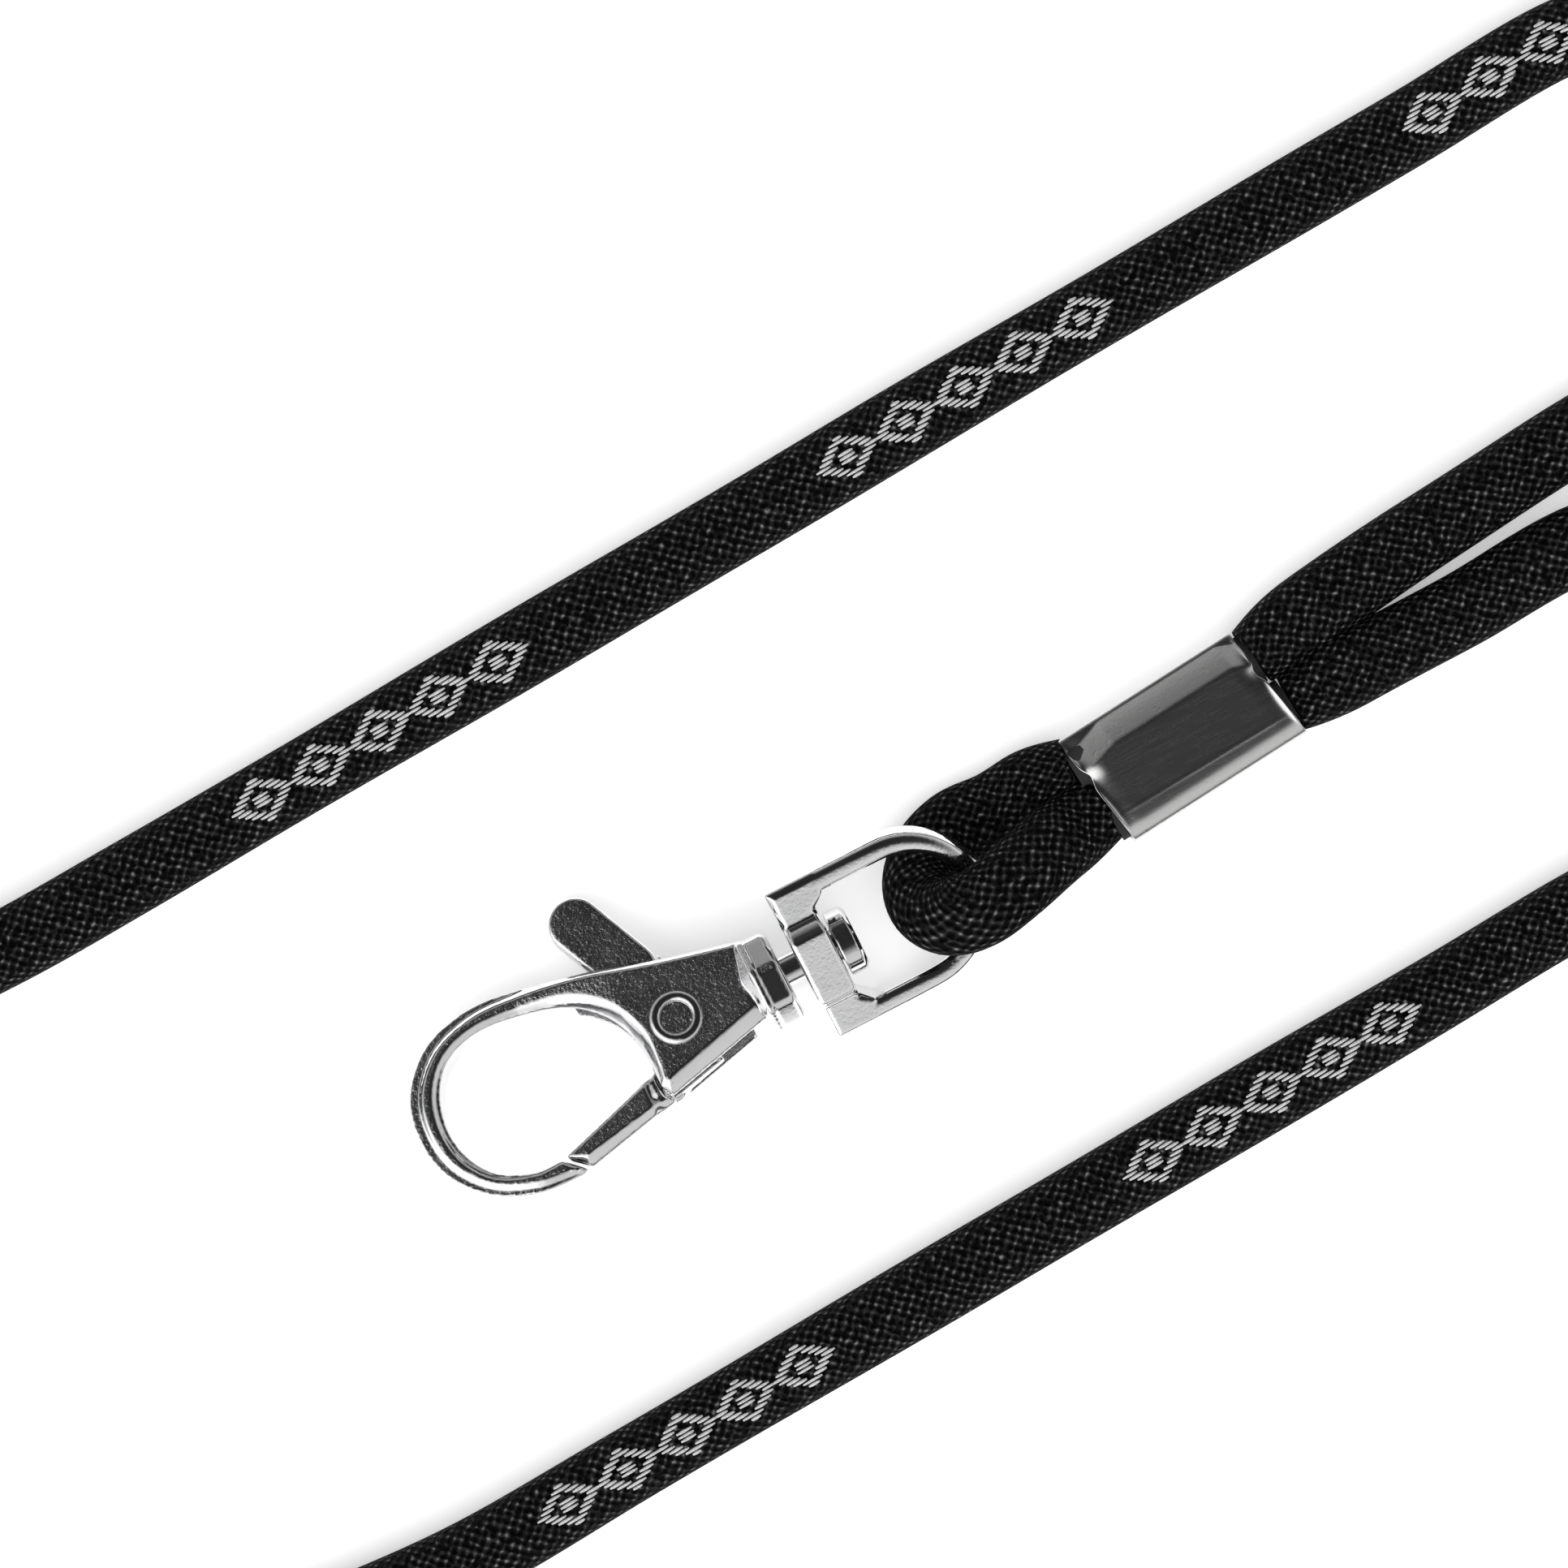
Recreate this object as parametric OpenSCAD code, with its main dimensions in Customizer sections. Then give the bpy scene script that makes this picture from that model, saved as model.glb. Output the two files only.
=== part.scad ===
// Neck lanyard: woven cord loop, crimp, swivel eye and trigger snap hook.
// Origin: centre of the crimp's underside, on the surface that the lanyard lies on.
// +X runs along the swivel axis from the hook to the neck cord, +Z is up.

/* [Cord] */
// Width of the cord as it lies
cord_width = 5; // [4.6:0.1:5.2]
// Thickness of the cord as it lies
cord_thickness = 4; // [3.4:0.1:4.2]
// Width of a strand of the hook loop
loop_strand_width = 4.1; // [3.6:0.1:4.2]
// Thickness of a strand of the hook loop
loop_strand_thickness = 2.7; // [2.4:0.1:2.8]

/* [Crimp] */
// Length of the crimp along the cord
crimp_length = 13.3; // [12:0.1:15]
// Width of the crimp
crimp_width = 8.2; // [7.8:0.1:9]
// Height of the crimp
crimp_height = 4.4; // [4:0.1:5]
// Thickness of the crimp's sheet
crimp_sheet = 0.4; // [0.3:0.05:0.5]
// Turn of the crimp from the swivel axis
crimp_turn = 5.5; // [0:0.5:8]

/* [Swivel eye] */
// Width of the eye across its arms
eye_width = 11.5; // [11:0.1:12]
// Width of one arm of the eye
eye_arm_width = 1.55; // [1.3:0.05:1.6]
// Depth of the eye's arms
eye_depth = 2.2; // [2:0.1:2.4]
// Roll of the eye about the swivel axis
eye_roll = 24; // [20:1:26]
// Radius of the swivel pin's shank
pin_radius = 1.05; // [0.9:0.05:1.2]
// Radial clearance of the swivel pin in the eye
pin_clearance = 0.07; // [0.03:0.01:0.1]

/* [Snap hook] */
// Thickness of the hook across its cheeks
cheek_span = 4.8; // [4.6:0.1:5]
// Depth of the hook's wire at its far end
wire_depth = 3.2; // [3:0.1:3.4]
// Width of the slot between the cheeks
slot_width = 2.4; // [2.3:0.1:2.6]
// Roll of the hook about the swivel axis
hook_roll = 14; // [12:1:15]
// Radius of the rivet's shank
rivet_radius = 1.4; // [1.3:0.05:1.5]
// Radial clearance of the lever on the rivet
lever_clearance = 0.05; // [0.02:0.01:0.1]
// Width of the thumb tab
tab_width = 3.7; // [3.4:0.1:3.8]

/* [Stored cord] */
// Radius of the coil's outermost turn, at the middle of the cord
coil_outer_radius = 32; // [31:1:34]
// Distance between neighbouring turns
coil_pitch = 5.2; // [5:0.1:5.4]

/* [Hidden] */
$fn = 48;
tiny = 0.01;
big = 60;
nickel = "silver";
black = [0.06, 0.06, 0.065];

// Places on the swivel axis, counted from the rivet towards the crimp
rivet_x = -37.3;
axis_y = -1.8;
axis_z = 3.75;
collar_start = 5.5;
collar_end = 7.5;
eye_base_start = 8.6;
eye_base_end = 11.2;
eye_arch_x = 16.2;
pin_head_start = 11.35;
pin_head_end = 12.75;
pin_head_radius = 2.25;
pin_root = 5.7;

// Routes along the middle of the cord, x, y, z
upper_route = [
    [6.45, 2.6, 2.2], [10.3, 3.4, 2.1], [16.6, 4.3, 2.05], [23, 5, 2.05], [30.7, 5.8, 2.05],
    [38, 6.3, 2.05], [45, 7.4, 2.05], [50.8, 10.6, 2.05], [54.4, 15.9, 2.05], [54, 22.2, 2.05],
    [50, 27, 2.05], [43, 29.2, 2.05], [31, 28.5, 2.05], [19, 27.8, 2.05], [7, 27.1, 2.05],
    [-5, 26.4, 2.05], [-17, 25.6, 2.05], [-29, 24.9, 2.05], [-41, 24.2, 2.05], [-53, 23.5, 2.05],
    [-65, 22.8, 2.05], [-75, 22.4, 2.05], [-87, 22.8, 2.05], [-98, 24.7, 2.05], [-108, 27.4, 2.05],
    [-118, 30, 2.05], [-128.9, 31, 2.05]];
lower_route = [
    [-122, -20.2, 6.2], [-115, -21, 6.3], [-107, -22, 6.1], [-99, -23.1, 5], [-91, -24.3, 3.2],
    [-83, -25.3, 2.2], [-75, -26, 2.05], [-65, -26.5, 2.05], [-53, -25.8, 2.05], [-41, -25.1, 2.05],
    [-29, -24.4, 2.05], [-17, -23.7, 2.05], [-5, -23, 2.05], [7, -22.3, 2.05], [17, -21.6, 2.05],
    [25, -21.4, 2.05], [32.5, -20, 2.05], [38.2, -15.8, 2.05], [39.6, -9.6, 2.05], [36, -3.6, 2.05],
    [29.5, -0.6, 2.05], [20, -0.9, 2.05], [14, -1, 2.1], [7.35, -1.2, 2.2]];
loop_route = [
    [-7.6, 1.35, 2.2], [-10, 1.8, 1.8], [-13, 1.7, 1.5], [-15.8, 1.4, 1.4], [-18, 0.8, 1.6],
    [-19.4, -0.5, 2.5], [-19.7, -2.1, 4], [-18.7, -3.4, 5.7], [-16.6, -3.8, 6.5],
    [-13.8, -3.5, 6.2], [-11, -3.1, 4.9], [-9, -2.8, 3.4], [-6.9, -2.5, 2.3]];
cord_sides = 10;
pinch_length = 9;
pinched_half = [1.85, 1.75];
coil_turns = 2.25;
coil_centre = [-129, -1];
tie_angle = 120;
tie_width = 6;
tie_sheet = 0.6;

function unit(v) = v / norm(v);
function heading(p, i) = unit(p[min(i + 1, len(p) - 1)] - p[max(i - 1, 0)]);
// A half width of the cord shrinks towards a crimped end.
function pinch(distance, full, pinched) =
    full - (full - pinched) * pow(max(0, 1 - distance / pinch_length), 2);

// One ring of an oval section, square to the route
function section_ring(p, i, half_w, half_t, sides) =
    let (ahead = heading(p, i), side = unit(cross([0, 0, 1], ahead)), up = cross(ahead, side))
    [for (k = [0:sides - 1])
        let (a = 360 * k / sides)
        p[i] + side * half_w * cos(a) + up * half_t * sin(a)];

// Closed oval tube swept along a route, with its half width and half thickness at each point
module tube(p, half_w, half_t, sides) {
    n = len(p);
    points = [for (i = [0:n - 1]) each section_ring(p, i, half_w[i], half_t[i], sides)];
    walls = [for (i = [0:n - 2]) for (k = [0:sides - 1])
        let (a = i * sides + k, b = i * sides + (k + 1) % sides)
        each [[a, a + sides, b], [b, a + sides, b + sides]]];
    first = [[for (k = [0:sides - 1]) k]];
    last = [[for (k = [sides - 1:-1:0]) (n - 1) * sides + k]];
    polyhedron(points, concat(walls, first, last));
}

// Smooth curve through hand-placed outline points
function curve_point(a, b, c, d, t) =
    0.5 * (2 * b + (c - a) * t + (2 * a - 5 * b + 4 * c - d) * t * t
           + (3 * b - a - 3 * c + d) * t * t * t);
function curve(p, steps) = [
    for (i = [0:len(p) - 2]) for (s = [0:steps - 1])
        curve_point(p[max(i - 1, 0)], p[i], p[i + 1], p[min(i + 2, len(p) - 1)], s / steps),
    p[len(p) - 1]];

module rounded_rectangle(w, h, r) {
    polygon([for (q = [0:3]) for (s = [0:5])
        let (a = q * 90 + s * 18, cx = (q == 0 || q == 3) ? 1 : -1, cy = q < 2 ? 1 : -1)
        [cx * (w / 2 - r) + r * cos(a), cy * (h / 2 - r) + r * sin(a)]]);
}

// Crimp: folded sheet sleeve, its ends slightly out of square
module crimp_frame() {
    translate([0, 0, crimp_height / 2]) rotate([0, 0, crimp_turn]) children();
}
module along_x(length) {
    rotate([90, 0, 90]) linear_extrude(length, center = true) children();
}
// Plan of the crimp as a leaning strip; trim shortens both ends
module crimp_plan(trim) {
    beside = 6;
    lean = 0.65;
    half = crimp_length / 2 - trim;
    linear_extrude(big, center = true)
        polygon([[-half - lean, beside], [half - lean, beside],
                 [half + lean, -beside], [-half + lean, -beside]]);
}
module crimp_sleeve() {
    seam = 0.25;
    seam_y = -1.6;
    color(nickel) crimp_frame() intersection() {
        crimp_plan(0);
        difference() {
            along_x(2 * crimp_length) rounded_rectangle(crimp_width, crimp_height, 1.7);
            along_x(3 * crimp_length)
                rounded_rectangle(crimp_width - 2 * crimp_sheet, crimp_height - 2 * crimp_sheet, 1.3);
            translate([0, seam_y, -crimp_height / 2]) cube([big, seam, crimp_height], center = true);
        }
    }
}

// The cord's strands inside the crimp, squeezed to its inner shape
module crimped_cord() {
    fit = 0.02;
    color(black) crimp_frame() intersection() {
        crimp_plan(0.15);
        along_x(2 * crimp_length)
            rounded_rectangle(crimp_width - 2 * crimp_sheet - fit, crimp_height - 2 * crimp_sheet - fit, 1.3);
    }
}

// Hook loop: both strands leave the crimp, one passes under the eye's arch and one over it
module hook_loop() {
    last = len(loop_route) - 1;
    at_crimp = 1.75;
    near_crimp = 1.95;
    half_w = [for (i = [0:last])
        let (steps = min(i, last - i))
        steps == 0 ? at_crimp : steps == 1 ? near_crimp : loop_strand_width / 2];
    half_t = [for (i = [0:last]) loop_strand_thickness / 2];
    color(black) tube(loop_route, half_w, half_t, cord_sides);
}

// Neck cord: two free stretches that join at the coil, each pinched at its crimped end
module neck_stretch(route, crimped_end) {
    half_w = [for (p = route) pinch(norm(p - crimped_end), cord_width / 2, pinched_half[0])];
    half_t = [for (p = route) pinch(norm(p - crimped_end), cord_thickness / 2, pinched_half[1])];
    color(black) tube(route, half_w, half_t, cord_sides);
}
module neck_cord_upper() {
    neck_stretch(upper_route, upper_route[0]);
}
module neck_cord_lower() {
    neck_stretch(lower_route, lower_route[len(lower_route) - 1]);
}

// Stored cord: a flat coil, and the wrap that holds its turns together
coil_inside = coil_outer_radius - coil_turns * coil_pitch - cord_width / 2;
coil_outside = coil_outer_radius + cord_width / 2;
coil_height = 4.1;
module tie_band() {
    middle = (coil_inside + coil_outside) / 2;
    depth = coil_outside - coil_inside + 2 * tie_sheet;
    translate([coil_centre[0], coil_centre[1], coil_height / 2]) rotate([0, 0, tie_angle])
        translate([middle, 0, 0]) rotate([90, 0, 0]) linear_extrude(tie_width, center = true)
            difference() {
                rounded_rectangle(depth, coil_height, 1.4);
                rounded_rectangle(depth - 2 * tie_sheet, coil_height - 2 * tie_sheet, 0.9);
            }
}
module cord_coil() {
    color(black) difference() {
        translate([coil_centre[0], coil_centre[1], 0]) rotate_extrude($fn = 96)
            translate([(coil_inside + coil_outside) / 2, coil_height / 2])
                rounded_rectangle(coil_outside - coil_inside, coil_height, 1.6);
        tie_band();
    }
}
module coil_tie() {
    color([0.1, 0.1, 0.1]) tie_band();
}

// Swivel eye and pin, drawn with the swivel axis as X and the rivet at 0
module on_swivel_axis(roll) {
    translate([rivet_x, axis_y, axis_z]) rotate([roll, 0, 0]) children();
}
// Base, straight arms and a round arch
module eye_outline(half) {
    curve_steps = 24;
    polygon(concat(
        [[eye_base_start, -half], [eye_arch_x, -half]],
        [for (s = [1:curve_steps]) let (a = -90 + 180 * s / curve_steps)
            [eye_arch_x + half * cos(a), half * sin(a)]],
        [[eye_base_start, half]]));
}
module eye_opening(half) {
    translate([eye_base_end, -half]) square([eye_arch_x - eye_base_end, 2 * half]);
    translate([eye_arch_x, 0]) circle(half);
}
module swivel_eye() {
    boss_radius = 3.3;
    hole = pin_radius + pin_clearance;
    base_length = eye_base_end - eye_base_start;
    color(nickel) on_swivel_axis(eye_roll) difference() {
        union() {
            linear_extrude(eye_depth, center = true) difference() {
                eye_outline(eye_width / 2);
                eye_opening(eye_width / 2 - eye_arm_width);
            }
            translate([eye_base_start, 0, 0]) rotate([0, 90, 0])
                cylinder(r = boss_radius, h = base_length);
        }
        translate([eye_base_start - 1, 0, 0]) rotate([0, 90, 0])
            cylinder(r = hole, h = base_length + 2);
    }
}
module swivel_pin() {
    edge = 0.3;
    color(nickel) on_swivel_axis(-hook_roll) rotate([90, 0, 90]) rotate_extrude()
        polygon([[0, pin_root], [pin_radius, pin_root], [pin_radius, pin_head_start],
                 [pin_head_radius, pin_head_start], [pin_head_radius, pin_head_end - edge],
                 [pin_head_radius - edge, pin_head_end], [0, pin_head_end]]);
}

// Snap hook, drawn flat: X is the swivel axis, Y is towards the thumb tab, Z is the rivet's axis
outer_edge = [
    [0, 4.25], [-4.9, 5.8], [-9, 6.75], [-12.2, 6.95], [-15.4, 6], [-17.7, 3.6], [-18.4, 0.6],
    [-17.8, -2.3], [-15.8, -4.7], [-13, -5.95], [-10.2, -6.2], [-9.4, -6.05]];
inner_edge = [
    [-10.7, -4.75], [-12.6, -4.6], [-14.8, -3.6], [-16.05, -1.8], [-16.45, 0.4], [-15.9, 2.75],
    [-14.4, 4.6], [-11.9, 5.35], [-8.8, 5], [-6, 4.05], [-4, 2.3], [-3, 0], [-2.8, -2.4]];
slot_left = -5.1;
slot_right = 4;
module hook_outline() {
    polygon(concat([[collar_start + tiny, 2.8]], curve(outer_edge, 5), curve(inner_edge, 5),
                   [[-2.9, -3.5], [-2.4, -4.3], [collar_start + tiny, -2.4]]));
}
// Thin at the far end of the wire, full thickness at the cheeks
module hook_side_profile() {
    a = wire_depth / 2;
    b = cheek_span / 2;
    rotate([90, 0, 0]) linear_extrude(big, center = true)
        polygon([[-20, -a], [-9, -a - 0.1], [-3, -b], [collar_start + 1, -b],
                 [collar_start + 1, b], [-3, b], [-9, a + 0.1], [-20, a]]);
}
// Room for the lever between the cheeks, open above and below
module lever_slot() {
    translate([slot_left, -big / 2, -slot_width / 2]) cube([slot_right - slot_left, big, slot_width]);
}
module hook_body() {
    collar_radius = 3.6;
    color(nickel) on_swivel_axis(-hook_roll) difference() {
        union() {
            intersection() {
                linear_extrude(big, center = true) hook_outline();
                hook_side_profile();
            }
            translate([collar_start, 0, 0]) rotate([0, 90, 0]) rotate([0, 0, 22.5])
                cylinder(r = collar_radius, h = collar_end - collar_start, $fn = 8);
        }
        lever_slot();
        cylinder(r = rivet_radius, h = big, center = true);
        translate([pin_root, 0, 0]) rotate([0, 90, 0]) cylinder(r = pin_radius, h = 5);
    }
}

// Gate lever: thin hub on the rivet, gate arm and thumb tab
tab_root = [-1.3, 4.6];
tab_end = [-3.2, 8.95];
arm_root = [-2.3, -3.6];
hub_radius = 2.6;
hub_low = -1.1;
hub_high = 0.1;
module plate(low, high) {
    translate([0, 0, low]) linear_extrude(high - low) children();
}
module gate_arm_outline(start) {
    polygon([[-10.35, -4.7], [-10.2, -4.55], [start, -4.55 + (start + 10.2) * 0.31],
             [start + 0.4, -6 + (start + 9.8) * 0.2], [-9.1, -5.92]]);
}
module gate_lever() {
    color("gray") on_swivel_axis(-hook_roll) difference() {
        union() {
            plate(hub_low, hub_high) hull() {
                circle(hub_radius);
                translate(tab_root) circle(1.9);
            }
            plate(hub_low, hub_high) hull() {
                circle(hub_radius);
                translate(arm_root) circle(0.9);
            }
            plate(-0.9, 0.9) hull() {
                translate(tab_root) circle(tab_width / 2);
                translate(tab_end) circle(tab_width / 2);
            }
            // Lip that fills the lower edge of the slot as far as the rivet
            plate(hub_low, hub_high) hull() {
                circle(hub_radius);
                translate([1.05, -2.85]) circle(0.3);
            }
            plate(-1.1, 1.1) polygon([[-2.9, -3.5], [-2.5, -4.3], [1.5, -3.35], [1.3, -2.9], [-1.9, -3.1]]);
            plate(-1.1, 1.1) gate_arm_outline(-2.9);
            plate(-1.5, 1.5) gate_arm_outline(-4.9);
        }
        cylinder(r = rivet_radius + lever_clearance, h = big, center = true);
    }
}

// Semi-tubular rivet: flanged head behind, rolled rim in front
module gate_rivet() {
    face = cheek_span / 2;
    flange = 1.75;
    rise = 0.3;
    hole = 1;
    hole_floor = -1;
    color(nickel) on_swivel_axis(-hook_roll) rotate_extrude()
        polygon([[0, -face - rise], [flange - 0.25, -face - rise], [flange, -face - rise + 0.2],
                 [flange, -face], [rivet_radius, -face], [rivet_radius, face], [flange, face],
                 [flange, face + 0.12], [flange - 0.2, face + rise], [hole + 0.15, face + rise],
                 [hole, face + 0.1], [hole, hole_floor], [0, hole_floor]]);
}

// Torsion spring beside the hub: one leg on the slot's end, one on the thumb tab
module gate_spring() {
    wire = 0.15;
    mean = 1.9;
    low = 0.3;
    high = 1;
    turns = 1.75;
    steps = 28;
    coil = [for (s = [0:steps])
        let (a = 270 - 360 * turns * s / steps)
        [mean * cos(a), mean * sin(a), high - (high - low) * s / steps]];
    path = concat([[3.7, -mean, high], [1.8, -mean, high]], coil, [[1.75, 1.6, low], [1.35, 4.2, low]]);
    radii = [for (p = path) wire];
    color("dimgray") on_swivel_axis(-hook_roll) tube(path, radii, radii, 6);
}

crimp_sleeve();
crimped_cord();
hook_loop();
neck_cord_upper();
neck_cord_lower();
cord_coil();
coil_tie();
swivel_eye();
swivel_pin();
hook_body();
gate_lever();
gate_rivet();
gate_spring();
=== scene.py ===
"""Neck lanyard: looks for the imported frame. Lengths are in metres unless a name says mm."""

import math
import random

import bpy
import bmesh
from mathutils import Matrix, Vector
from mathutils.geometry import convex_hull_2d, delaunay_2d_cdt
from mathutils.kdtree import KDTree


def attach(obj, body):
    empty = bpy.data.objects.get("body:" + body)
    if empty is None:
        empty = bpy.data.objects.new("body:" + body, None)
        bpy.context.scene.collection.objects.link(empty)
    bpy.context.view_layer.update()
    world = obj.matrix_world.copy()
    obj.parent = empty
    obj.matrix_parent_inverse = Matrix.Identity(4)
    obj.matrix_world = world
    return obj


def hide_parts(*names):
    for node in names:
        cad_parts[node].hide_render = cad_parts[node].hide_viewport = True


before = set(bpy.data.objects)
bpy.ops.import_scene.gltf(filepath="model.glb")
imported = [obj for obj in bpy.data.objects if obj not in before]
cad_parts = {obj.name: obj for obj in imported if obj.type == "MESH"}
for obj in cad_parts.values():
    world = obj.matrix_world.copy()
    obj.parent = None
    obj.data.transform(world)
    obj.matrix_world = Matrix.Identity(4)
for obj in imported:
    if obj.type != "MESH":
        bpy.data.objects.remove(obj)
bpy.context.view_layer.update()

MM = 0.001

# ---------------------------------------------------------------- camera
VIEW_CENTRE = Vector((-0.0243, 0.0090, 0.0020))
VIEW_SIDE = 0.1016
VIEW_TURN = math.radians(-27)
LENS = 200.0
SENSOR = 36.0


def make_camera():
    """Straight overhead, turned so that the swivel axis climbs to the right."""
    data = bpy.data.cameras.new("camera")
    data.lens = LENS
    data.sensor_width = SENSOR
    data.clip_start = 0.01
    data.clip_end = 10
    camera = bpy.data.objects.new("camera", data)
    bpy.context.collection.objects.link(camera)
    height = VIEW_SIDE * LENS / SENSOR
    camera.location = VIEW_CENTRE + Vector((0, 0, height))
    camera.rotation_euler = (0, 0, VIEW_TURN)
    bpy.context.scene.camera = camera


# ---------------------------------------------------------------- curves and meshes
def smooth_route(points, steps=8):
    """Uniform Catmull-Rom curve through the points, as a list of Vectors."""
    p = [Vector(q) for q in points]
    p = [p[0] * 2 - p[1]] + p + [p[-1] * 2 - p[-2]]
    out = []
    for i in range(1, len(p) - 2):
        a, b, c, d = p[i - 1 : i + 3]
        for s in range(steps):
            t = s / steps
            square = (2 * a - 5 * b + 4 * c - d) * t * t
            cube = (3 * b - a - 3 * c + d) * t ** 3
            out.append(0.5 * (2 * b + (c - a) * t + square + cube))
    out.append(p[-2].copy())
    return out


def evenly(points, step):
    """The same curve with points a fixed step apart, and the distance of each along it."""
    at = [0.0]
    for a, b in zip(points, points[1:]):
        at.append(at[-1] + (b - a).length)
    count = max(2, round(at[-1] / step))
    out, k = [], 0
    for i in range(count + 1):
        want = at[-1] * i / count
        while k < len(at) - 2 and at[k + 1] < want:
            k += 1
        share = (want - at[k]) / max(at[k + 1] - at[k], 1e-12)
        out.append(points[k].lerp(points[k + 1], share))
    return out, [at[-1] * i / count for i in range(count + 1)]


def frames(points):
    """At each point: ahead, side (level) and up."""
    out = []
    for i in range(len(points)):
        ahead = (points[min(i + 1, len(points) - 1)] - points[max(i - 1, 0)]).normalized()
        side = Vector((0, 0, 1)).cross(ahead).normalized()
        out.append((ahead, side, ahead.cross(side)))
    return out


def link(name, mesh):
    piece = bpy.data.objects.new(name, mesh)
    bpy.context.collection.objects.link(piece)
    return piece


def mesh_piece(name, verts, faces):
    """A smooth-shaded object from points and faces."""
    mesh = bpy.data.meshes.new(name)
    mesh.from_pydata([tuple(v) for v in verts], [], faces)
    mesh.validate()
    mesh.polygons.foreach_set("use_smooth", [True] * len(mesh.polygons))
    mesh.update()
    return link(name, mesh)


def join_rings(faces, first, sides, rings):
    """Joins rings of points, one after another from vertex first, into a capped tube."""
    for i in range(rings - 1):
        a, b = first + i * sides, first + (i + 1) * sides
        for k in range(sides):
            j = (k + 1) % sides
            faces.append((a + k, a + j, b + j, b + k))
    last = first + (rings - 1) * sides
    faces.append(tuple(first + k for k in range(sides - 1, -1, -1)))
    faces.append(tuple(last + k for k in range(sides)))


def fullness(c, s, power):
    """Scale that puts the point c, s on a rounded square; power 2 makes it a circle."""
    return (abs(c) ** power + abs(s) ** power) ** (-1 / power)


def sweep(name, points, section, sides):
    """A tube. section(i, angle) gives the offset across and up, in metres. Its UV map holds
    the distance along and the way round, both in millimetres."""
    verts, faces = [], []
    for i, (p, (_, side, up)) in enumerate(zip(points, frames(points))):
        for k in range(sides):
            across, rise = section(i, 2 * math.pi * k / sides)
            verts.append(p + side * across + up * rise)
    join_rings(faces, 0, sides, len(points))
    piece = mesh_piece(name, verts, faces)
    at = [0.0]
    for a, b in zip(points, points[1:]):
        at.append(at[-1] + (b - a).length)
    layer = piece.data.uv_layers.new(name="cord_map")
    for poly in piece.data.polygons:
        ks = [piece.data.loops[li].vertex_index % sides for li in poly.loop_indices]
        wrap = max(ks) - min(ks) > sides / 2
        for li in poly.loop_indices:
            vi = piece.data.loops[li].vertex_index
            i, k = divmod(vi, sides)
            kk = k + sides if wrap and k < sides / 2 else k
            layer.data[li].uv = (at[i] / MM, kk / sides * CORD_AROUND_MM)
    return piece


# ---------------------------------------------------------------- cord routes, metres
CORD_WIDTH = 0.0050
CORD_THICKNESS = 0.0040
CORD_FULLNESS = 2.5
CORD_AROUND_MM = 14.4
CORD_STEP, CORD_SIDES, CORD_PINCH = 0.0006, 32, 0.0045
LOOP_STEP, LOOP_SIDES, LOOP_PINCH = 0.00035, 40, 0.0035
COIL_CENTRE = Vector((-0.129, -0.001, 0))
COIL_OUTER = 0.032
COIL_PITCH = 0.0052
COIL_TURNS = 2.25
CORD_Z = 0.00205

UPPER_ROUTE = [
    (0.00645, 0.0026, 0.0022), (0.0103, 0.0034, 0.0021), (0.0166, 0.0043, 0.00205),
    (0.023, 0.005, 0.00205), (0.0307, 0.0058, 0.00205), (0.038, 0.0063, 0.00205),
    (0.045, 0.0074, 0.00205), (0.0508, 0.0106, 0.00205), (0.0544, 0.0159, 0.00205),
    (0.054, 0.0222, 0.00205), (0.050, 0.027, 0.00205), (0.043, 0.0292, 0.00205),
    (0.031, 0.0285, 0.00205), (0.019, 0.0278, 0.00205), (0.007, 0.0271, 0.00205),
    (-0.005, 0.0264, 0.00205), (-0.017, 0.0256, 0.00205), (-0.029, 0.0249, 0.00205),
    (-0.041, 0.0242, 0.00205), (-0.053, 0.0235, 0.00205), (-0.065, 0.0228, 0.00205),
    (-0.075, 0.0224, 0.00205), (-0.087, 0.0228, 0.00205), (-0.098, 0.0247, 0.00205),
    (-0.108, 0.0274, 0.00205), (-0.118, 0.030, 0.00205), (-0.1289, 0.031, 0.00205),
]
COIL_EXIT = [
    (-0.1476, -0.009, 0.0022), (-0.1425, -0.0155, 0.0028), (-0.135, -0.0186, 0.0042),
    (-0.1285, -0.0196, 0.0056),
]
LOWER_ROUTE = [
    (-0.122, -0.0202, 0.0062), (-0.115, -0.021, 0.0063), (-0.107, -0.022, 0.0061),
    (-0.099, -0.0231, 0.005), (-0.091, -0.0243, 0.0032), (-0.083, -0.0253, 0.0022),
    (-0.075, -0.026, 0.00205),
    (-0.065, -0.0265, 0.00205), (-0.053, -0.0258, 0.00205), (-0.041, -0.0251, 0.00205),
    (-0.029, -0.0244, 0.00205), (-0.017, -0.0237, 0.00205), (-0.005, -0.023, 0.00205),
    (0.007, -0.0223, 0.00205), (0.017, -0.0216, 0.00205), (0.025, -0.0214, 0.00205),
    (0.0325, -0.020, 0.00205), (0.0382, -0.0158, 0.00205), (0.0396, -0.0096, 0.00205),
    (0.036, -0.0036, 0.00205), (0.0295, -0.0006, 0.00205), (0.020, -0.0009, 0.00205),
    (0.014, -0.001, 0.0021), (0.00735, -0.0012, 0.0022),
]
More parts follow.
